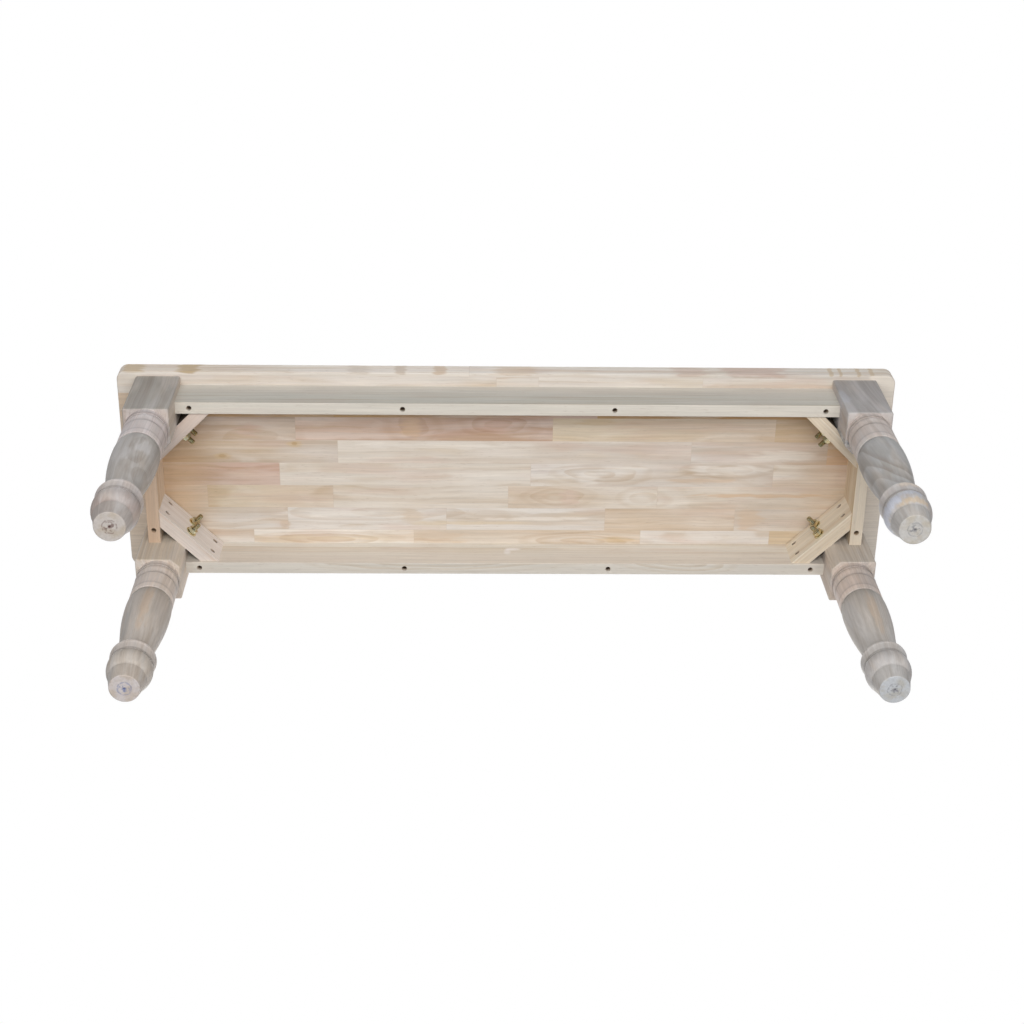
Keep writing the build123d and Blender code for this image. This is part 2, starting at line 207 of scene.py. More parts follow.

# Knots, stains and streaks: row, place along and across, half length, half width, tone, strength
SEAT_MARKS = (
    (1, -0.575, -0.1675, 0.018, 0.004, "ochre", 0.7),
    (1, -0.49, -0.1675, 0.018, 0.004, "ochre", 0.85),
    (1, -0.23, -0.1675, 0.02, 0.004, "sand", 0.45),
    (1, -0.165, -0.1675, 0.01, 0.004, "clay", 0.6),
    (1, -0.105, -0.1675, 0.011, 0.004, "tan", 0.65),
    (1, 0.01, -0.1675, 0.035, 0.004, "tan", 0.45),
    (1, 0.28, -0.1675, 0.03, 0.004, "rose", 0.45),
    (1, 0.38, -0.1675, 0.055, 0.006, "rose", 0.6),
    (1, 0.5, -0.1675, 0.004, 0.004, "ochre", 0.6),
    (1, 0.515, -0.1675, 0.003, 0.004, "ochre", 0.6),
    (1, 0.543, -0.1675, 0.004, 0.004, "ochre", 0.6),
    (1, 0.564, -0.1675, 0.004, 0.004, "ochre", 0.55),
    (2, -0.03, -0.142, 0.03, 0.004, "honey", 0.7),
    (4, -0.405, -0.072, 0.024, 0.012, "rose", 0.4),
    (4, -0.15, -0.074, 0.018, 0.02, "tan", 0.55),
    (4, -0.02, -0.078, 0.035, 0.012, "rose", 0.6),
    (4, 0.14, -0.086, 0.03, 0.006, "ochre", 0.4),
    (5, -0.446, -0.026, 0.016, 0.006, "ochre", 0.5),
    (5, -0.446, -0.026, 0.007, 0.003, "knot", 0.6),
    (5, -0.332, -0.048, 0.013, 0.008, "ochre", 0.55),
    (5, -0.332, -0.048, 0.005, 0.003, "knot", 0.65),
    (5, -0.1, -0.045, 0.14, 0.006, "white", 0.45),
    (5, 0.43, -0.03, 0.07, 0.009, "pale", 0.65),
    (6, 0.0, 0.008, 0.125, 0.006, "white", 0.45),
    (6, 0.129, 0.01, 0.02, 0.014, "white", 0.5),
    (6, 0.18, -0.004, 0.04, 0.007, "white", 0.55),
    (6, 0.343, -0.005, 0.06, 0.01, "white", 0.55),
    (6, 0.3, 0.014, 0.06, 0.005, "tan", 0.45),
    (7, 0.057, 0.041, 0.01, 0.007, "clay", 0.6),
    (7, 0.1, 0.047, 0.018, 0.016, "pink", 0.6),
    (7, 0.208, 0.048, 0.03, 0.013, "white", 0.3),
    (7, 0.42, 0.04, 0.12, 0.004, "tan", 0.75),
    (8, -0.352, 0.093, 0.009, 0.01, "clay", 0.6),
    (8, -0.27, 0.074, 0.08, 0.006, "white", 0.6),
    (8, -0.15, 0.078, 0.018, 0.013, "sand", 0.8),
    (8, -0.05, 0.09, 0.11, 0.004, "honey", 0.75),
    (8, 0.06, 0.082, 0.09, 0.004, "white", 0.55),
    (8, 0.389, 0.083, 0.024, 0.022, "tan", 0.45),
    (9, -0.29, 0.118, 0.11, 0.005, "honey", 0.5),
    (9, -0.11, 0.116, 0.05, 0.016, "tan", 0.3),
    (9, 0.178, 0.119, 0.042, 0.005, "ochre", 0.6),
)

# Closed growth lines: row, place along and across, half length, half width, lines, strength
SEAT_LOOPS = (
    (4, -0.4, -0.06, 0.09, 0.036, 2, 0.35),
    (4, -0.15, -0.078, 0.05, 0.036, 2, 0.4),
    (4, -0.01, -0.082, 0.07, 0.022, 3, 0.5),
    (6, 0.15, 0.004, 0.08, 0.022, 3, 0.5),
    (6, 0.345, -0.005, 0.085, 0.016, 2, 0.6),
    (7, 0.08, 0.044, 0.06, 0.022, 3, 0.35),
    (7, 0.215, 0.046, 0.05, 0.022, 2, 0.35),
    (8, -0.2, 0.07, 0.2, 0.026, 3, 0.35),
    (9, -0.29, 0.118, 0.13, 0.014, 3, 0.6),
    (9, 0.13, 0.122, 0.11, 0.016, 3, 0.5),
    (10, -0.42, 0.152, 0.15, 0.016, 3, 0.5),
)

# All legs
LEG_SEED, LEG_SEED_GAP = 71.5, 5.3
LEG_PALENESS = 0.2
LEG_BLUR = 0.001  # how far a tone runs over its step
VASE_FADE = 0.02
RIDGE_RATE = 1400  # lathe ridges, to a metre
LEG_STEPS = (0.025, 0.0585, 0.0835, 0.237, 0.317)  # heights where one tone gives way to the next
POST_START = 0.3175  # a little above the post's lower end
LEG_TINT = (0.76, 0.72, 0.68)
LEG_BLUSH = (("silver", 0.35), ("sand", 0.22), ("slate", 0.25))

# Each leg: tones of cone, bulb, ring, vase, collar and post, of the post's inner side, of the foot's face and
# of the scribble on it. turn is which way the pith lies, in degrees from straight to the front, and reach how
# far. grain is how the grain leans, rate the growth bands to a metre and dark how dark they are. loops and
# marks are as on the seat, along being up and across along X. A loop may add the share of its size where
# its lines start and how uneven they are.
# The zone tones are partly the wood's own and partly painted light: the pale collars stand in for light on
# faces turned down
LEGS = {
    "leg_front_left": {
        "tones": ((0.41, 0.36, 0.33), (0.385, 0.318, 0.29), (0.52, 0.46, 0.435),
                  (0.44, 0.41, 0.385), (0.655, 0.575, 0.555), (0.34, 0.305, 0.265)),
        "side": (0.585, 0.5, 0.42), "foot": (0.5, 0.46, 0.43), "scribble": (0.16, 0.1, 0.09),
        "turn": 8, "reach": 0.024, "grain": (0.02, 0.0, 1.0), "rate": 150, "dark": 0.4,
        "loops": ((0.185, 0.006, 0.08, 0.028, 2, 0.5), (0.12, 0.018, 0.05, 0.024, 2, 0.5)),
        "marks": ((0.195, 0.013, 0.022, 0.013, "silver", 0.5), (0.165, -0.006, 0.02, 0.012, "silver", 0.4),
                  (0.425, 0.022, 0.03, 0.014, "sand", 0.25)),
    },
    "leg_front_right": {
        "tones": ((0.46, 0.44, 0.42), (0.46, 0.44, 0.435), (0.52, 0.49, 0.48),
                  (0.415, 0.41, 0.405), (0.615, 0.54, 0.5), (0.37, 0.345, 0.335)),
        "side": (0.47, 0.41, 0.37), "foot": (0.515, 0.5, 0.48), "scribble": (0.22, 0.22, 0.23),
        "turn": -24, "reach": 0.022, "grain": (-0.09, 0.05, 1.0), "rate": 150, "dark": 0.4,
        "loops": ((0.228, 0.028, 0.175, 0.066, 7, 0.9, 0.44, 0.1),),
        "marks": ((0.042, -0.022, 0.012, 0.014, "blue", 0.7), (0.048, 0.004, 0.008, 0.018, "blue", 0.6),
                  (0.03, 0.004, 0.006, 0.024, "ochre", 0.5), (0.074, 0.01, 0.008, 0.018, "sand", 0.5),
                  (0.425, -0.012, 0.022, 0.018, "sand", 0.3), (0.375, 0.004, 0.03, 0.01, "blue", 0.25)),
    },
    "leg_back_left": {
        "tones": ((0.49, 0.43, 0.375), (0.505, 0.45, 0.395), (0.56, 0.5, 0.455),
                  (0.53, 0.475, 0.425), (0.705, 0.62, 0.56), (0.635, 0.545, 0.44)),
        "side": (0.74, 0.625, 0.515), "foot": (0.585, 0.535, 0.52), "scribble": (0.16, 0.2, 0.36),
        "turn": 75, "reach": 0.06, "grain": (0.01, 0.0, 1.0), "rate": 220, "dark": 0.65,
        "marks": ((0.18, 0.002, 0.06, 0.01, "tan", 0.4), (0.14, -0.019, 0.05, 0.005, "slate", 0.35)),
    },
    "leg_back_right": {
        "tones": ((0.48, 0.46, 0.44), (0.505, 0.48, 0.465), (0.54, 0.51, 0.485),
                  (0.51, 0.475, 0.44), (0.705, 0.6, 0.54), (0.56, 0.495, 0.425)),
        "side": (0.555, 0.465, 0.39), "foot": (0.52, 0.535, 0.555), "scribble": (0.23, 0.23, 0.25),
        "turn": -70, "reach": 0.05, "grain": (-0.015, 0.01, 1.0), "rate": 220, "dark": 0.65,
        "marks": ((0.17, 0.004, 0.06, 0.008, "tan", 0.3),),
    },
}

# Painted light and shade on the turnings, pale on their crowns and dark in their grooves: height and
# brightness
LEG_LIGHT_AND_SHADE = (
    (0.0, 1.0), (0.008, 0.99), (0.0235, 0.93), (0.025, 0.75), (0.027, 1.06), (0.038, 1.06),
    (0.05, 0.95), (0.0545, 0.86), (0.0575, 0.58), (0.0598, 0.58), (0.063, 0.98), (0.074, 1.06),
    (0.081, 1.06), (0.083, 0.88), (0.097, 0.95), (0.13, 1.0), (0.19, 1.0), (0.215, 0.95),
    (0.233, 0.82), (0.2365, 0.62), (0.239, 1.14), (0.247, 1.12), (0.251, 0.82), (0.254, 1.0),
    (0.266, 1.04), (0.279, 0.98), (0.2835, 0.52), (0.288, 0.94), (0.295, 1.12), (0.302, 0.98),
    (0.3065, 0.6), (0.311, 0.96), (0.317, 1.04), (0.325, 1.0), (0.33, 1.0),
)

# Foot: a mottled sawn face, broken lathe rings, a smeared scribble and a dark dot. Speckles have a rate,
# detail, where the noise sets in and is full, and strength. Shares are of the scribble's radius: where each
# thing sets in and is full.
FOOT_FACE = 0.0008  # what lies below this height is the foot's own face
FOOT_SCRIBBLE = 0.012
FOOT_CENTRE = 0.5  # share within which the centre mark goes up into the wood
MOTTLE, MOTTLE_TINT = (70.0, 2.0, 0.42, 0.66, 0.6), (0.84, 0.76, 0.62)
LATHE_RATE, LATHE_STEP, LATHE_STRENGTH = 400, (0.48, 0.58), 0.5
LATHE_WOBBLE_RATE, LATHE_WOBBLE = 150.0, 1.2
LATHE_BREAKS, LATHE_SHARES = (210.0, 1.0, 0.36, 0.52, 1.0), (1.2, 1.0)
SMEAR, SMEAR_SHARES = (170.0, 2.0, 0.49, 0.58, 0.8), (0.9, 0.4)
DOT_SHARES = (0.25, 0.1)

# Aprons: way of the grain, tone, tone of the lower edge, seed, how far in radians the pith is turned from
# square to the face, and how dark the growth bands are
APRONS = {
    "front_apron": (RIGHT, "front board", "pale edge", 51.3, 0.5, 0.22),
    "back_apron": (RIGHT, "back board", "pale edge", 58.9, 1.45, 0.24),
    "left_apron": (BACK, "left board", "left edge", 63.1, 0.6, 0.3),
    "right_apron": (BACK, "right board", "right edge", 67.7, -0.7, 0.3),
}
APRON_PITH = 0.06  # how far away the pith is
APRON_PALENESS = 0.5  # of the bands, against their darkness
APRON_BLUSH = 0.5
APRON_EDGE = 0.8  # strength of the edge's own tone

# Aprons that fade to another tone over their height, the front one to painted bounce light from the seat
# above it: tone, heights above the lower edge, strength
APRON_FADES = {
    "front_apron": ("bounce", 0.01, 0.069, 0.8),
    "back_apron": ("cream", 0.06, 0.005, 0.85),
}

# Back apron: marks as on the seat, across being up, and growth lines as on the legs for its lower edge,
# across being from the edge's middle towards the front
BACK_MARKS = (
    (0.011, 0.423, 0.016, 0.004, "chalk_and_light", 0.75),
    (0.002, 0.414, 0.007, 0.01, "chalk_and_light", 0.6),
)
BACK_EDGE_LOOPS = (
    (-0.097, 0.02, 0.26, 0.03, 5, 0.5, 0.3, 0.25),
    (0.275, 0.02, 0.11, 0.03, 4, 0.5, 0.3, 0.25),
)

# Holes: painted shade on their walls: how far in it starts and is full, and the hole's radius against that of
# the screw's head
HOLES = {"bore": ((0.001, 0.009), 1.12), "pocket": ((-0.001, 0.0028), 1.15)}

# Corner blocks: tone, and how much painted light makes the inner face paler
BLOCKS = {
    "back_right": ("warm block", 0.0),
    "back_left": ("cool block", 0.5),
    "front_right": ("warm block", 0.0),
    "front_left": ("dull block", 0.0),
}
BLOCK_SEED, BLOCK_SEED_GAP = 97.1, 3.9
BLOCK_GROWTH = (0.4, 0.07, 0.3, 0.12)  # turn and distance of the pith, darkness and paleness of the bands
BLOCK_BLUSH = 0.3

# Hardware. Points and rounded ends are shares of the radius there.
SHARP_ANGLE = radians(30)
THREAD_STEPS = 7  # rows to a turn
THREAD_SLOPE, THREAD_CREST = 1.35, 0.15
STUD_THREAD = (0.00125, 0.00068, 28)  # pitch, depth and points round it, as for all threads
STUD_TIP, STUD_ROUND = 0.45, 0.28  # its length, and what it takes off
LAG_THREAD = (0.0032, 0.001, 28)
LAG_POINT, LAG_TIP_SIZE = 1.6, 0.25  # its length, and what is left at its end
LAG_SHARE = 0.48  # of the stud's length, with a plain neck after it
NECK_SHARE = 0.04
NUT_SEGMENTS = 96
NUT_BORE, NUT_INSET = 0.00405, 0.0003  # radius of the bore, and the chamfer at its mouth
NUT_FACE = 0.96  # radius of the flat end, share of half the width across flats
NUT_CHAMFER = radians(30)
NUT_LEVELS = (0.0, 0.00012, 0.00025, 0.0004, 0.00055, 0.0007)  # rows from each end
# Painted shade at the nut's chamfered ends: how dark, and how far in from each end
NUT_EDGE_SHADE, NUT_EDGE_SHADE_REACH = 0.5, 0.0006
WASHER_SEGMENTS = 48
WASHER_ROUND, WASHER_TURNS = 0.0004, (0, 30, 60, 90)  # radius of the rims, and rows round one in degrees
WASHER_BORE = 0.0086
SCREWS = {  # height of the head and radius of the shank
    "corner_block_screws": (0.0024, 0.0018),
    "seat_screws": (0.0032, 0.002),
}
SCREW_THREAD = (0.0018, 0.0005, 24)
SCREW_POINT, SCREW_TIP_SIZE = 3.0, 0.12
HEAD_RINGS, HEAD_SEGMENTS = 12, 48
HEAD_DOME, HEAD_RIM, THREAD_START = 0.18, 0.6, 0.9  # down from the top, shares of the head's height
SLOT_DEPTH, SLOT_WIDTH = 0.0013, 0.0006  # the width is to either side
SLOT_REACH = 0.62  # share of the head's radius

# Metals, with specks to a metre. Roughness is the middle and how far to either side.
ZINC_YELLOW = (0.8, 0.66, 0.38)
ZINC_GREEN = (0.7, 0.69, 0.5)
# Dark grime for the grit specks and rubbed patches, and the colour of the painted shade in the zinc's hollows
ZINC_DIRT_AND_SHADE = (0.05, 0.038, 0.02)
CLOUD_RATE, CLOUD_STEP = 160.0, (0.4, 0.6)
GRIT_RATE, GRIT_STEP = 1400.0, (0.62, 0.85)
# How dark the painted shade is in thread roots, bores and nut ends
HOLLOW_SHADE = 0.85
ZINC_ROUGHNESS = (0.17, 0.09)
SCREW_STEEL = (0.085, 0.075, 0.065)
RUB_RATE, RUB_STEP = 700.0, (0.5, 0.8)
STEEL_ROUGHNESS = (0.45, 0.15)


class Nodes:
    """A tree of shader nodes. Each method takes sockets or plain values and returns an output socket."""

    def __init__(self, owner):
        owner.use_nodes = True
        self.tree = owner.node_tree

    def join(self, value, socket):
        if isinstance(value, bpy.types.NodeSocket):
            self.tree.links.new(value, socket)
        elif socket.type == "RGBA":
            socket.default_value = (*value, 1)
        else:
            socket.default_value = value

    def node(self, kind, output, inputs, **settings):
        made = self.tree.nodes.new("ShaderNode" + kind)
        for name, value in settings.items():
            setattr(made, name, value)
        for name, value in inputs.items():
            self.join(value, made.inputs[name])
        return made.outputs[output] if made.outputs else None

    def math(self, operation, *values):
        return self.node("Math", 0, dict(enumerate(values)), operation=operation)

    def times(self, first, second):
        return self.math("MULTIPLY", first, second)

    def vector(self, operation, *values, output=0):
        return self.node("VectorMath", output, dict(enumerate(values)), operation=operation)

    def combine(self, *values):
        return self.node("CombineXYZ", 0, dict(enumerate(values)))

    def length(self, first, second):
        return self.vector("LENGTH", self.combine(first, second, 0.0), output=1)

    def split(self, value):
        return self.node("SeparateXYZ", 0, {0: value}).node.outputs

    def noise(self, place, detail=1.0, output=0):
        return self.node("TexNoise", output, {"Vector": place, "Scale": 1.0, "Detail": detail})

    def specks(self, place, rate, detail=1.0):
        """Noise of one rate every way, which socket 3 takes."""
        return self.noise(self.node("VectorMath", 0, {0: place, 3: rate}, operation="SCALE"), detail)

    def bands(self, place, detail=1.0):
        return self.node("TexNoise", 0, {"W": place, "Scale": 1.0, "Detail": detail}, noise_dimensions="1D")

    def smooth(self, value, low, high):
        """A soft step from 0 at low to 1 at high."""
        ends = {"Value": value, "From Min": low, "From Max": high}
        return self.node("MapRange", 0, ends, interpolation_type="SMOOTHSTEP")

    def mix(self, amount, first, second):
        """Sockets 6 and 7 take the two colours, and output 2 gives the result."""
        return self.node("Mix", 2, {0: amount, 6: first, 7: second}, data_type="RGBA")

    def spread(self, value, middle, reach):
        """A value from 0 to 1 as a distance to either side of middle."""
        return self.math("MULTIPLY_ADD", value, 2 * reach, middle - reach)

    def profile(self, value, points, top=1.5):
        """The line drawn through points, none higher than top, read off at value."""
        end = points[-1][0]
        read = self.node("FloatCurve", 0, {"Value": self.math("DIVIDE", value, end)})
        mapping = read.node.mapping
        line = mapping.curves[0].points
        line[-1].location = (1.0, points[-1][1] / top)
        line[0].location = (0.0, points[0][1] / top)
        for place, height in points[1:-1]:
            line.new(place / end, height / top)
        for point in line:
            point.handle_type = "VECTOR"
        mapping.update()
        return self.times(read, top)

    def bump(self, height, distance, strength):
        return self.node("Bump", 0, {"Height": height, "Distance": distance, "Strength": strength})


class Shader(Nodes):
    """The nodes of one material, with the surface that they are joined to."""

    def __init__(self, name):
        self.material = bpy.data.materials.new(name)
        super().__init__(self.material)
        self.surface = self.tree.nodes["Principled BSDF"]

    def object_place(self):
        return self.node("TexCoord", "Object", {})

    def dress(self, colour, rough, **others):
        """Join the surface's own sockets."""
        for name, value in {"Base Color": colour, "Roughness": rough, **others}.items():
            self.join(value, self.surface.inputs[name])
        return self.material


class Wood(Shader):
    """Unfinished wood that runs right through a piece: staves, growth bands, marks, fibres and pores."""

    def __init__(self, name, along, across, seed, centre=(0, 0, 0)):
        super().__init__(name)
        self.seed = seed
        self.place = self.vector("SUBTRACT", self.object_place(), centre)
        self.axis = Vector(along).normalized()
        side = Vector(across)
        side = (side - self.axis * side.dot(self.axis)).normalized()
        axes = (self.axis, side, self.axis.cross(side))
        self.along, self.across, self.deep = (
            self.vector("DOT_PRODUCT", self.place, axis, output=1) for axis in axes
        )

    def cover(self, mask, tone, strength=None):
        """Lay on another tone, by its name or as a colour, as far as the mask goes."""
        if strength is not None:
            mask = self.times(mask, strength)
        self.colour = self.mix(mask, self.colour, TONES[tone] if isinstance(tone, str) else tone)

    def dim(self, share):
        """Make the colour brighter or darker by a share."""
        self.colour = self.vector("MULTIPLY", self.colour, self.combine(share, share, share))

    def lay(self, ends, tones):
        """Staves end to end. Each has its own place in the log and fades from its first tone to its last."""
        index = 0.0
        self.colour = None
        for start, stop, pair in zip(ends, ends[1:], tones):
            first, last = (TONES[tone] for tone in pair.split())
            stave = self.mix(self.smooth(self.along, start, stop), first, last)
            if self.colour is None:
                self.colour = stave
                continue
            past = self.math("GREATER_THAN", self.along, start)
            index = self.math("ADD", index, past)
            self.cover(past, stave)
        self.draw_luck(index)

    def board(self, colour):
        """One length of wood in one colour."""
        self.colour = colour
        self.draw_luck(0.0)

    def draw_luck(self, index):
        """Three values from 0 to 1 that belong to a stave."""
        place = self.math("ADD", index, self.seed)
        self.luck = self.split(self.node("TexWhiteNoise", 1, {"W": place}, noise_dimensions="1D"))

    def cut_at_random(self):
        """Each stave is cut its own way: the pith lies under its face, beside it or between."""
        turn = self.spread(self.luck[1], 0.0, PITH_TURN)
        self.grow(turn, self.spread(self.luck[2], PITH_REACH, PITH_SPREAD))

    def blush(self, strength, tones=BLUSH):
        """Wide soft changes of tone."""
        clouds = self.split(self.grain(BLUSH_RATES, BLUSH_DETAIL, output=1))
        for cloud, (tone, share) in zip(clouds, tones):
            self.cover(self.smooth(cloud, *BLUSH_STEP), tone, share * strength)

    def grow(self, turn, reach, dark_share=BAND_DARKNESS, pale_share=BAND_PALENESS, rate=RING_RATE,
             tint=DARK_TINT, pale_tone="white"):
        """Growth bands round a wandering pith. It lies as far away as reach, turned from straight down."""
        run = self.math("MULTIPLY_ADD", self.luck[0], STAVE_SHIFT, self.along)
        self.log = (run, self.across, self.deep)  # straight, until the wander is known
        wander = self.split(self.grain(WANDER_RATES, WANDER_DETAIL, output=1))
        side = self.math("ADD", self.across, self.spread(wander[0], 0.0, WANDER_REACH / 2))
        deep = self.math("ADD", self.deep, self.spread(wander[1], 0.0, WANDER_REACH / 2))
        side = self.math("MULTIPLY_ADD", self.math("SINE", turn), reach, side)
        deep = self.math("MULTIPLY_ADD", self.math("COSINE", turn), reach, deep)
        self.log = (run, side, deep)
        radius = self.length(side, deep)
        rings = self.bands(self.math("MULTIPLY_ADD", radius, rate, self.seed), detail=2.0)
        streaks = self.grain(STREAK_RATES, detail=2.0)
        figure = self.times(self.math("ADD", rings, streaks), 0.5)
        dark = self.times(self.smooth(figure, *DARK_STEP), dark_share)
        edges = self.bands(self.math("MULTIPLY_ADD", radius, VEIN_RATE, 2 * self.seed))
        veins = self.math("ABSOLUTE", self.math("SUBTRACT", edges, NOISE_MIDDLE))
        veins = self.times(self.smooth(veins, *VEIN_STEP), self.smooth(streaks, *VEIN_PATCH_STEP))
        dark = self.math("MAXIMUM", dark, self.times(veins, VEIN_DARKNESS))
        self.tint = tint
        self.darken(dark)
        self.cover(self.smooth(figure, *PALE_STEP), pale_tone, pale_share)

    def darken(self, share):
        """Towards what a dark band does to the tone."""
        self.colour = self.mix(share, self.colour, self.vector("MULTIPLY", self.colour, self.tint))

    def grain(self, rates, detail=1.0, output=0):
        """Noise at the place in the log, drawn out along the grain. rates are along it and across it."""
        along, across = rates
        place = [self.times(value, rate) for value, rate in zip(self.log, (along, across, across))]
        return self.noise(self.combine(*place), detail, output)

    def oval(self, along, across, half_length, half_width, rates, uneven, side=None):
        """How far from a place, 1 at the edge of an uneven oval. side is what across is measured along."""
        ragged = self.split(self.grain(rates, output=1))
        ahead = self.math("DIVIDE", self.math("SUBTRACT", self.along, along), half_length)
        aside = self.math("DIVIDE", self.math("SUBTRACT", side or self.across, across), half_width)
        ahead = self.math("ADD", ahead, self.spread(ragged[0], 0.0, uneven))
        aside = self.math("ADD", aside, self.spread(ragged[1], 0.0, uneven))
        return self.length(ahead, aside)

    def mark(self, along, across, half_length, half_width, tone, strength):
        """A soft patch of another tone with an uneven edge."""
        away = self.oval(along, across, half_length, half_width, MARK_RATES, MARK_UNEVEN)
        self.cover(self.smooth(away, *MARK_STEP), tone, strength)

    def loops(self, along, across, half_length, half_width, count, strength, first=0.0,
              uneven=LOOP_UNEVEN, side=None):
        """Growth lines that close round a place, where a band runs out at the face: each darkens to an edge.
        Those nearer the middle than first are left out."""
        away = self.oval(along, across, half_length, half_width, LOOP_RATES, uneven, side)
        step = self.math("FRACT", self.times(away, count))
        line = self.times(self.smooth(step, *LOOP_RISE), self.smooth(step, *LOOP_FALL))
        inside = self.times(self.smooth(away, *LOOP_STEP), strength)
        if first:
            inside = self.times(inside, self.math("GREATER_THAN", away, first))
        self.darken(self.times(line, inside))

    def loops_within(self, mask, loops, side=None):
        """Growth lines that show only where the mask is."""
        plain = self.colour
        for loop in loops:
            self.loops(*loop, side=side)
        self.colour = self.mix(mask, plain, self.colour)

    def joint_line(self, value, place):
        """A thin glue line where value passes place."""
        away = self.math("ABSOLUTE", self.math("SUBTRACT", value, place))
        self.cover(self.smooth(away, *JOINT_STEP), "glue", JOINT_STRENGTH)

    def shade_hole(self, point, direction, radius, depth, mouth, tone):
        """Painted shade on the wall of a hole about an axis, clean at its mouth. depth is how far in a place
        is.
        """
        offset = self.vector("SUBTRACT", self.place, point)
        away = self.vector("LENGTH", self.vector("CROSS_PRODUCT", offset, direction), output=1)
        inside = self.times(self.math("LESS_THAN", away, radius), self.smooth(depth, *mouth))
        self.cover(inside, tone)

    def facing(self, direction, step=FACE_STEP):
        """How far a face looks that way, from 0 to 1."""
        normal = self.node("TexCoord", "Normal", {})
        return self.smooth(self.vector("DOT_PRODUCT", normal, direction, output=1), *step)

    def end_grain(self):
        """Faces square to the grain are warmer."""
        for direction in (self.axis, -self.axis):
            self.cover(self.facing(direction), "tan", END_GRAIN)

    def finish(self, ridges=None):
        """Fibres, pores, the sanded surface and any lathe ridges."""
        fibre = self.grain(FIBRE_RATES, detail=2.0)
        pores = self.smooth(self.grain(PORE_RATES), *PORE_STEP)
        lines = self.spread(self.grain(LINE_RATES, detail=2.0), 1.0, LINE_CONTRAST)
        self.dim(self.times(self.spread(fibre, 1.0, FIBRE_CONTRAST), lines))
        self.cover(pores, "pore", PORE_STRENGTH)
        height = self.math("SUBTRACT", fibre, pores)
        if ridges is not None:
            height = self.math("ADD", height, ridges)
        rough = self.spread(fibre, *WOOD_ROUGHNESS)
        bump = self.bump(height, BUMP_DISTANCE, BUMP_STRENGTH)
        return self.dress(self.colour, rough, Normal=bump)


def add_object(name, data):
    made = bpy.data.objects.new(name, data)
    bpy.context.scene.collection.objects.link(made)
    return made


def aim(item, place, forward, roll=0.0):
    """Set a camera or lamp in its place, looking forward."""
    item.location = place
    item.rotation_mode = "QUATERNION"
    item.rotation_quaternion = forward.to_track_quat("-Z", "Y") @ Quaternion(UP, radians(roll))


def paint(node, material):
    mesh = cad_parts[node].data
    mesh.materials.clear()
    mesh.materials.append(material)


def solids(node):
    """The corner points of each separate solid in a CAD node."""
    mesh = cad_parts[node].data
    keys = [tuple(round(value, WELD_DIGITS) for value in vertex.co) for vertex in mesh.vertices]
    group = {key: key for key in keys}

    def first(key):
        while group[key] != key:
            group[key] = group[group[key]]
            key = group[key]
        return key

    for edge in mesh.edges:
        one, other = (first(keys[index]) for index in edge.vertices)
        group[one] = other
    found = {}
    for key in group:
        found.setdefault(first(key), []).append(Vector(key))
    return list(found.values())


def reach_of(points):
    """The lowest and the highest corner of the box round some points."""
    return [Vector(pick(point[axis] for point in points) for axis in range(3)) for pick in (min, max)]


def middle(points):
    low, high = reach_of(points)
    return (low + high) / 2


def rod(points, direction):
    """Where a solid of revolution starts on its axis, which way it runs, how long and how wide it is."""
    centre = middle(points)
    offsets = [point - centre for point in points]
    reach = [offset.dot(direction) for offset in offsets]
    radius = max((offset - direction * ahead).length for offset, ahead in zip(offsets, reach))
    return centre + direction * min(reach), direction, max(reach) - min(reach), radius


def inward(place):
    """The level diagonal from a corner of the bench towards its middle."""
    return Vector((-1 if place.x > 0 else 1, -1 if place.y > 0 else 1, 0)).normalized()


def screw_direction(points):
    """From a screw's head to its point: up for a seat screw, else outwards along its longest side."""
    low, high = reach_of(points)
    extent = list(high - low)
    axis = extent.index(max(extent))
    direction = Vector((0, 0, 0))
    direction[axis] = 1 if axis == 2 or middle(points)[axis] > 0 else -1
    return direction


def stave_ends(node):
    """Where a seat row's staves start and stop along the bench, from the faces that look along it."""
    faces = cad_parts[node].data.polygons
    places = (face.center.x for face in faces if abs(face.normal.x) > END_FACE)
    return sorted({round(place, STAVE_DIGITS) for place in places})


def screw_holes(wood, node, screws, depth, tone):
    """Painted shade in the holes of those screws that start in or near a piece of wood."""
    mouth, margin = HOLES[tone]
    low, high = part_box(node)
    for points in screws:
        start, direction, _, radius = rod(points, screw_direction(points))
        if all(low[axis] - NEAR_MARGIN < start[axis] < high[axis] + NEAR_MARGIN for axis in range(3)):
            wood.shade_hole(start, direction, margin * radius, depth, mouth, tone)


def seat_wood():
    for number, tones in STAVE_TONES.items():
        node = f"seat_stave_row_{number:02d}"
        wood = Wood(node, RIGHT, BACK, SEAT_SEED * number)
        ends = stave_ends(node)
        wood.lay(ends, tones)
        below = wood.facing(DOWN)
        if number in UPPER_TONES:
            lower = wood.colour
            wood.lay(ends, UPPER_TONES[number])
            wood.cover(below, lower)
        wood.cut_at_random()
        wood.blush(1.0)
        for draw, table in ((wood.loops, SEAT_LOOPS), (wood.mark, SEAT_MARKS)):
            for row, *facts in table:
                if row == number:
                    draw(*facts)
        for end in ends[1:-1]:
            wood.joint_line(wood.along, end)
        low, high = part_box(node)
        wood.joint_line(wood.across, high.y)
        if number == 1:
            # The front lip's face keeps its painted light; its lower face is dimmed back
            wood.dim(wood.math("MULTIPLY_ADD", wood.facing(DOWN, LIP_STEP), LIP_BENEATH - 1, 1.0))
        seat_end_tones(wood, number, below, low.x, high.x)
        wood.end_grain()
        paint(node, wood.finish())


def seat_end_tones(wood, number, below, left, right):
    """The underside near the seat's two ends."""
    for end, (paleness, end_shade) in zip((left, right), SEAT_ENDS):
        away = wood.math("ABSOLUTE", wood.math("SUBTRACT", wood.along, end))
        if number > FRONT_ROWS:
            # Painted warm shade just inside the end aprons
            wood.cover(wood.times(wood.smooth(away, *END_SHADE_STEP), below), "shade", end_shade)
        wood.cover(wood.times(wood.smooth(away, *OVERHANG_STEP), below), "pale", paleness)


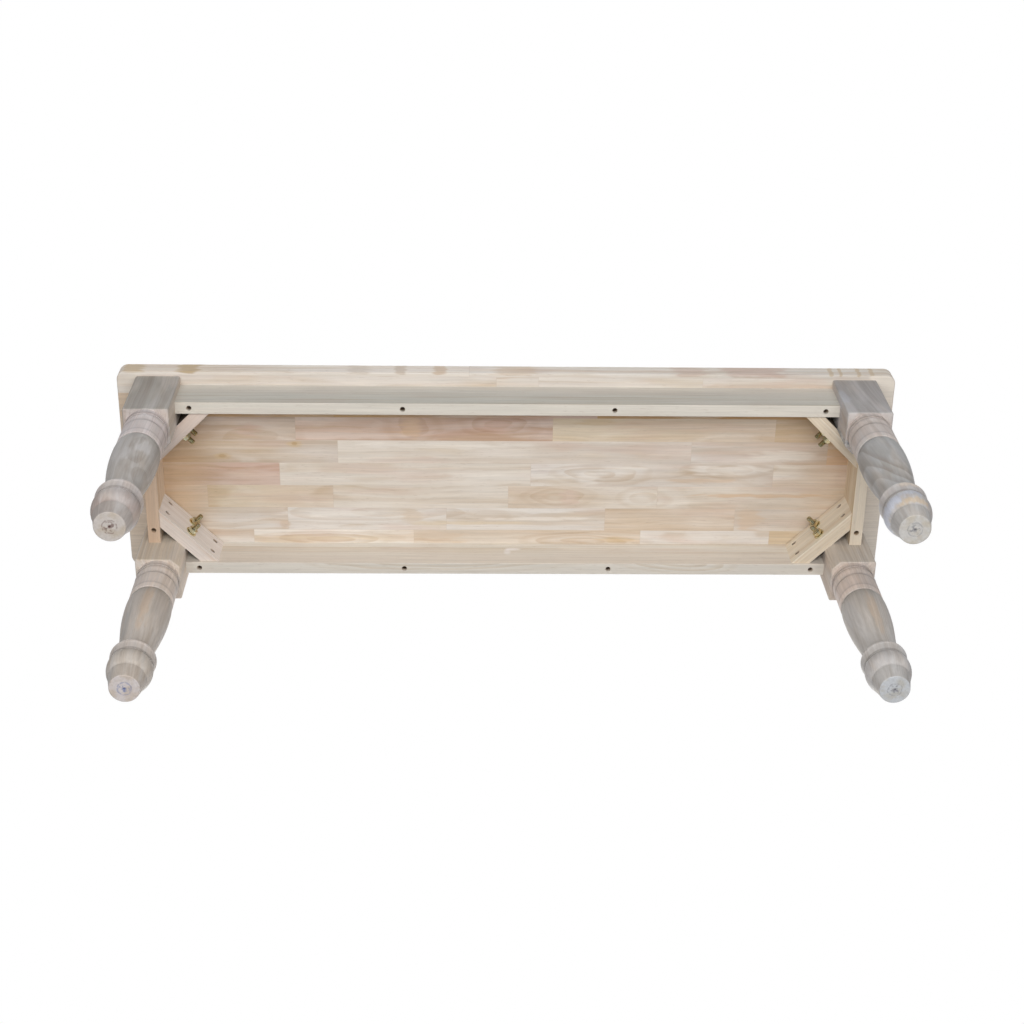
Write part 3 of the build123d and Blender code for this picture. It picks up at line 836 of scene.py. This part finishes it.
def apron_wood(node, along, tone, edge_tone, seed, turn, dark, screws):
    wood = Wood(node, along, UP, seed)
    wood.board(TONES[tone])
    wood.grow(turn, APRON_PITH, dark, APRON_PALENESS * dark)
    wood.blush(APRON_BLUSH)
    low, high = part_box(node)
    if node in APRON_FADES:
        fade_tone, start, stop, share = APRON_FADES[node]
        wood.cover(wood.smooth(wood.across, low.z + start, low.z + stop), fade_tone, share)
    below = wood.facing(DOWN)
    wood.cover(below, edge_tone, APRON_EDGE)
    if node == "back_apron":
        for mark in BACK_MARKS:
            wood.mark(*mark)
        forward = wood.math("ADD", wood.deep, (low.y + high.y) / 2)
        wood.loops_within(below, BACK_EDGE_LOOPS, forward)
    depth = wood.math("SUBTRACT", wood.across, low.z)
    screw_holes(wood, node, screws, depth, "bore")
    wood.end_grain()
    paint(node, wood.finish())


def leg_wood(node, seed, tones, side, foot, scribble, turn, reach, grain, rate, dark, marks, loops=()):
    centre = middle(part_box(node))
    centre.z = 0
    wood = Wood(node, grain, RIGHT, seed, centre)
    height = wood.split(wood.place)[2]
    wood.board(tones[0])
    for step, tone in zip(LEG_STEPS, tones[1:]):
        wood.cover(wood.smooth(height, step - LEG_BLUR, step + LEG_BLUR), tone)
    inner = wood.facing((-1 if centre.x > 0 else 1, 0, 0), SQUARE_STEP)
    wood.cover(wood.times(inner, wood.math("GREATER_THAN", height, POST_START)), side)
    wood.grow(radians(turn), reach, dark, LEG_PALENESS, rate, LEG_TINT, "silver")
    wood.blush(1.0, LEG_BLUSH)
    neck, shoulder = LEG_STEPS[2:4]
    fade = wood.smooth(height, neck, neck + VASE_FADE)
    wood.loops_within(wood.times(fade, wood.math("LESS_THAN", height, shoulder)), loops)
    for mark in marks:
        wood.mark(*mark)
    # Painted light and shade along the turnings
    wood.dim(wood.profile(height, LEG_LIGHT_AND_SHADE))
    # Painted shadow on the post's inner flat behind the corner block, seen through the gap
    block_low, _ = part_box(node.replace("leg", "corner_block"))
    hidden = wood.math("GREATER_THAN", height, block_low.z)
    wood.cover(wood.times(hidden, wood.facing(inward(centre), SQUARE_STEP)), "gap_shadow")
    foot_marks(wood, height, foot, scribble)
    paint(node, wood.finish(wood.bands(wood.times(height, RIDGE_RATE))))


def foot_marks(wood, height, foot_tone, scribble_tone):
    """Sawn foot: mottled end grain, lathe rings, a smudged scribble and a dark centre."""
    away = wood.length(wood.across, wood.deep)
    on_foot = wood.math("LESS_THAN", height, FOOT_FACE)
    on_foot = wood.math("MAXIMUM", on_foot, wood.math("LESS_THAN", away, FOOT_CENTRE * FOOT_SCRIBBLE))

    def speckle(rate, detail):
        return wood.specks(wood.vector("ADD", wood.place, (wood.seed, 0, 0)), rate, detail)

    def patches(rate, detail, low, high, strength):
        return wood.times(wood.smooth(speckle(rate, detail), low, high), strength)

    def within(shares):
        return wood.smooth(away, *(share * FOOT_SCRIBBLE for share in shares))

    tinted = [part * tint for part, tint in zip(foot_tone, MOTTLE_TINT)]
    face = wood.mix(patches(*MOTTLE), foot_tone, tinted)
    wobble = wood.times(speckle(LATHE_WOBBLE_RATE, 1.0), LATHE_WOBBLE)
    rings = wood.bands(wood.math("MULTIPLY_ADD", away, LATHE_RATE, wobble))
    lines = wood.times(wood.smooth(rings, *LATHE_STEP), patches(*LATHE_BREAKS))
    lines = wood.times(wood.times(lines, within(LATHE_SHARES)), LATHE_STRENGTH)
    smear = wood.times(patches(*SMEAR), within(SMEAR_SHARES))
    mask = wood.math("MAXIMUM", wood.math("MAXIMUM", lines, smear), within(DOT_SHARES))
    wood.cover(on_foot, wood.mix(mask, face, scribble_tone))


def block_wood(node, tone, chalk_and_light, seed, screws):
    facing = inward(middle(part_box(node)))
    wood = Wood(node, facing.cross(Vector(UP)), UP, seed)
    wood.board(TONES[tone])
    wood.grow(*BLOCK_GROWTH)
    wood.blush(BLOCK_BLUSH)
    # Painted light: the block's inner face made paler
    wood.cover(wood.facing(facing), "chalk_and_light", chalk_and_light)
    face = max(vertex.co.dot(facing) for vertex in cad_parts[node].data.vertices)
    depth = wood.math("ADD", wood.deep, face)
    screw_holes(wood, node, screws, depth, "pocket")
    # Painted shadow on the block's outer face, seen through the gap by the post
    wood.cover(wood.facing(-facing, SQUARE_STEP), "gap_shadow")
    paint(node, wood.finish())


def zinc():
    """Yellow passivated zinc: cloudy tints, with painted shade in its hollows."""
    shader = Shader("yellow_zinc")
    place = shader.object_place()
    cloud = shader.specks(place, CLOUD_RATE, detail=2.0)
    grit = shader.specks(place, GRIT_RATE)
    colour = shader.mix(shader.smooth(cloud, *CLOUD_STEP), ZINC_YELLOW, ZINC_GREEN)
    colour = shader.mix(shader.smooth(grit, *GRIT_STEP), colour, ZINC_DIRT_AND_SHADE)
    # Painted shade in thread roots, in the nuts' bores and at their ends
    hollow = shader.node("Attribute", "Fac", {}, attribute_name="hollow")
    colour = shader.mix(shader.times(hollow, HOLLOW_SHADE), colour, ZINC_DIRT_AND_SHADE)
    return shader.dress(colour, shader.spread(grit, *ZINC_ROUGHNESS), Metallic=1.0)


def screw_steel():
    """Dark oiled steel with rubbed patches."""
    shader = Shader("screw_steel")
    rub = shader.specks(shader.object_place(), RUB_RATE, detail=2.0)
    colour = shader.mix(shader.smooth(rub, *RUB_STEP), SCREW_STEEL, ZINC_DIRT_AND_SHADE)
    return shader.dress(colour, shader.spread(rub, *STEEL_ROUGHNESS), Metallic=1.0)


class Piece:
    """One mesh gathered from several grids of points."""

    def __init__(self):
        self.points, self.faces, self.hollows = [], [], []

    def add(self, rows, start, direction, closed=False):
        """Rows of points round an axis, as (radius, angle, height, hollow), set on start along direction.
        hollow says how much painted shade a point gets, and may be left out. Closed rows join the last to the
        first."""
        ahead = Vector(direction)
        up = Vector(RIGHT) if abs(ahead.z) > 0.5 else Vector(UP)
        side = ahead.cross(up)
        first, count = len(self.points), len(rows[0])
        for row in rows:
            for radius, angle, height, *hollow in row:
                offset = up * (radius * cos(angle)) + side * (radius * sin(angle)) + ahead * height
                self.points.append(start + offset)
                self.hollows.append(sum(hollow))
        last = len(rows) - 1
        for index in range(len(rows) if closed else last):
            here, there = first + index * count, first + (index + 1) % len(rows) * count
            for step in range(count):
                after = (step + 1) % count
                self.faces.append((here + step, here + after, there + after, there + step))
        if not closed:
            self.faces.append(tuple(first + step for step in reversed(range(count))))
            self.faces.append(tuple(first + last * count + step for step in range(count)))

    def place(self, name, node, material, slot):
        """Stand in for a CAD node."""
        mesh = bpy.data.meshes.new(name)
        mesh.from_pydata(self.points, [], self.faces)
        mesh.attributes.new("hollow", "FLOAT", "POINT").data.foreach_set("value", self.hollows)
        mesh.materials.append(material)
        mesh.shade_smooth()
        mesh.set_sharp_from_angle(angle=SHARP_ANGLE)
        piece = add_object(name, mesh)
        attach(piece, "root")
        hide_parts(node)


def angles(count):
    return [2 * pi * step / count for step in range(count)]


def thread_rows(radius, start, stop, size, pitch, depth, count):
    """Rows of a screw thread. size gives the share of the full radius at a height."""
    rows = []
    steps = max(2, round((stop - start) / pitch * THREAD_STEPS))
    for step in range(steps + 1):
        height = start + (stop - start) * step / steps
        row = []
        for angle in angles(count):
            phase = (height / pitch - angle / (2 * pi)) % 1.0
            dip = THREAD_SLOPE * (1 - abs(2 * phase - 1)) - THREAD_CREST
            dip = min(1.0, max(0.0, dip))
            # dip also gives the thread's roots their painted shade
            row.append(((radius - depth * dip) * size(height), angle, height, dip))
        rows.append(row)
    return rows


def stud(piece, start, direction, length, radius):
    """Hanger bolt: coarse wood thread with a point, a plain neck, then machine thread with a rounded end."""
    neck, machine = LAG_SHARE * length, (LAG_SHARE + NECK_SHARE) * length
    point, tip = LAG_POINT * radius, STUD_TIP * radius

    def lag_size(height):
        return min(1.0, LAG_TIP_SIZE + (1 - LAG_TIP_SIZE) * height / point)

    def tip_size(height):
        return 1.0 - STUD_ROUND * max(0.0, 1 - (length - height) / tip) ** 2

    rows = thread_rows(radius, 0, neck, lag_size, *LAG_THREAD)
    rows += thread_rows(radius, machine, length, tip_size, *STUD_THREAD)
    piece.add(rows, start, direction)


def nut(piece, start, direction, height, corner):
    """Hex nut with a flat towards the seat, its corners turned off at both ends."""
    flat = corner * cos(pi / 6)
    mouth = NUT_BORE + 2 * NUT_INSET

    def outline(angle, end):
        hexagon = flat / cos((angle + pi / 6) % (pi / 3) - pi / 6)
        return min(hexagon, NUT_FACE * flat + end / tan(NUT_CHAMFER))

    def ring(radius, level, hollow):
        return [(radius, angle, level, hollow) for angle in angles(NUT_SEGMENTS)]

    def side(level, end):
        # Painted shade at the chamfered ends
        edge_shade = NUT_EDGE_SHADE * (end < NUT_EDGE_SHADE_REACH)
        return [(outline(angle, end), angle, level, edge_shade) for angle in angles(NUT_SEGMENTS)]

    # The bore's rings get full painted shade
    rows = [ring(NUT_BORE, NUT_INSET, 1), ring(mouth, 0.0, 1)]
    rows += [side(level, level) for level in NUT_LEVELS]
    rows += [side(height - level, level) for level in reversed(NUT_LEVELS)]
    rows += [ring(mouth, height, 0), ring(NUT_BORE, height - NUT_INSET, 1)]
    piece.add(rows, start, direction, closed=True)


def washer(piece, start, direction, height, radius):
    """Flat washer with rounded rims."""
    outer, inner = radius - WASHER_ROUND, WASHER_BORE / 2 + WASHER_ROUND
    low, high = WASHER_ROUND, height - WASHER_ROUND
    rows = []
    for centre, level, first in ((outer, low, -90), (outer, high, 0), (inner, high, 90), (inner, low, 180)):
        for part in WASHER_TURNS:
            turn = radians(first + part)
            rim, rise = centre + WASHER_ROUND * cos(turn), level + WASHER_ROUND * sin(turn)
            rows.append([(rim, angle, rise) for angle in angles(WASHER_SEGMENTS)])
    piece.add(rows, start, direction, closed=True)


def screw(piece, start, direction, length, radius, head, shank):
    """Cross slotted screw, head first: a domed head, then a threaded shank with a point."""
    turns = angles(HEAD_SEGMENTS)
    point = SCREW_POINT * shank

    def slot(r, angle):
        x, y = abs(r * cos(angle)), abs(r * sin(angle))
        inside = min(x, y) < SLOT_WIDTH and max(x, y) < SLOT_REACH * radius
        return SLOT_DEPTH if inside else 0.0

    def size(height):
        return min(1.0, SCREW_TIP_SIZE + (1 - SCREW_TIP_SIZE) * (length - height) / point)

    rows = []
    for step in range(1, HEAD_RINGS + 1):
        share = step / HEAD_RINGS
        dome = HEAD_DOME * head * share ** 2
        rows.append([(radius * share, angle, dome + slot(radius * share, angle)) for angle in turns])
    rows.append([(radius, angle, HEAD_RIM * head) for angle in turns])
    rows.append([(shank, angle, head) for angle in turns])
    piece.add(rows, start, direction)
    piece.add(thread_rows(shank, THREAD_START * head, length, size, *SCREW_THREAD), start, direction)


def make_hardware():
    plated, steel = zinc(), screw_steel()
    bolted = (
        (stud, "hanger_bolts", "threaded_studs"),
        (nut, "bolt_nuts", "hex_nuts"),
        (washer, "bolt_washers", "round_washers"),
    )
    for shape, node, name in bolted:
        piece = Piece()
        for points in solids(node):
            shape(piece, *rod(points, inward(middle(points))))
        piece.place(name, node, plated, "zinc_hardware")
    for node, (head, shank) in SCREWS.items():
        piece = Piece()
        for points in solids(node):
            screw(piece, *rod(points, screw_direction(points)), head, shank)
        piece.place("slotted_" + node, node, steel, "screw_steel")


def make_wood():
    seat_screws, block_screws = solids("seat_screws"), solids("corner_block_screws")
    seat_wood()
    for node, facts in APRONS.items():
        apron_wood(node, *facts, seat_screws)
    for number, (node, facts) in enumerate(LEGS.items()):
        leg_wood(node, LEG_SEED + LEG_SEED_GAP * number, **facts)
    for number, (corner, (tone, chalk_and_light)) in enumerate(BLOCKS.items()):
        seed = BLOCK_SEED + BLOCK_SEED_GAP * number
        block_wood("corner_block_" + corner, tone, chalk_and_light, seed, block_screws)


def make_camera():
    camera = add_object("camera", bpy.data.cameras.new("camera"))
    azimuth, elevation = radians(CAMERA_AZIMUTH), radians(CAMERA_ELEVATION)
    level = cos(elevation)
    back = Vector((sin(azimuth) * level, -cos(azimuth) * level, sin(elevation)))
    aim(camera, CAMERA_PLACE, -back, CAMERA_ROLL)
    camera.data.lens = CAMERA_LENS
    camera.data.sensor_width = CAMERA_SENSOR
    camera.data.clip_start, camera.data.clip_end = CAMERA_CLIP
    bpy.context.scene.camera = camera


def make_lamps():
    for name, (place, power) in LAMPS.items():
        lamp = add_object(name, bpy.data.lights.new(name, "AREA"))
        lamp.data.shape = "RECTANGLE"
        lamp.data.size, lamp.data.size_y = LAMP_SIZE
        lamp.data.energy = power
        lamp.data.color = LAMP_COLOUR
        aim(lamp, place, Vector(LAMP_TARGET) - Vector(place))
        lamp.visible_camera = False
    sun = add_object("sun", bpy.data.lights.new("sun", "SUN"))
    sun.data.energy = SUN_POWER
    sun.data.angle = radians(SUN_ANGLE)
    sun.rotation_euler = (radians(-SUN_TILT), 0, 0)


def make_world():
    """White where it is seen, dim cool air where it lights."""
    world = bpy.data.worlds.new("studio")
    bpy.context.scene.world = world
    sky = Nodes(world)
    sky.tree.nodes.clear()
    seen = sky.node("LightPath", "Is Camera Ray", {})
    for name in ("Is Glossy Ray", "Is Transmission Ray"):
        seen = sky.math("MAXIMUM", seen, sky.node("LightPath", name, {}))
    height = sky.split(sky.node("TexCoord", "Generated", {}))[2]
    air = sky.mix(sky.smooth(height, *AIR_STEP), AIR_BELOW, AIR_ABOVE)
    lit = sky.node("Background", 0, {"Color": air})
    white = sky.node("Background", 0, {"Color": WORLD_WHITE})
    both = sky.node("MixShader", 0, {0: seen, 1: lit, 2: white})
    sky.node("OutputWorld", None, {"Surface": both})


def make_floor():
    """Pale floor that shows from above only, so the bench can be seen from beneath."""
    half = FLOOR_SIZE / 2
    corners = [(-half, -half, 0), (half, -half, 0), (half, half, 0), (-half, half, 0)]
    mesh = bpy.data.meshes.new("floor")
    mesh.from_pydata(corners, [], [(0, 1, 2, 3)])
    floor = add_object("floor", mesh)
    floor.visible_diffuse = False
    floor.visible_shadow = False
    material = bpy.data.materials.new("floor")
    nodes = Nodes(material)
    nodes.tree.nodes.clear()
    beneath = nodes.node("NewGeometry", "Backfacing", {})
    pale = nodes.node("BsdfDiffuse", 0, {"Color": FLOOR_COLOUR})
    clear = nodes.node("BsdfTransparent", 0, {})
    both = nodes.node("MixShader", 0, {0: beneath, 1: pale, 2: clear})
    nodes.node("OutputMaterial", None, {"Surface": both})
    mesh.materials.append(material)


make_wood()
make_hardware()
make_camera()
make_world()
make_lamps()
make_floor()
bpy.context.scene.view_settings.view_transform = "Standard"
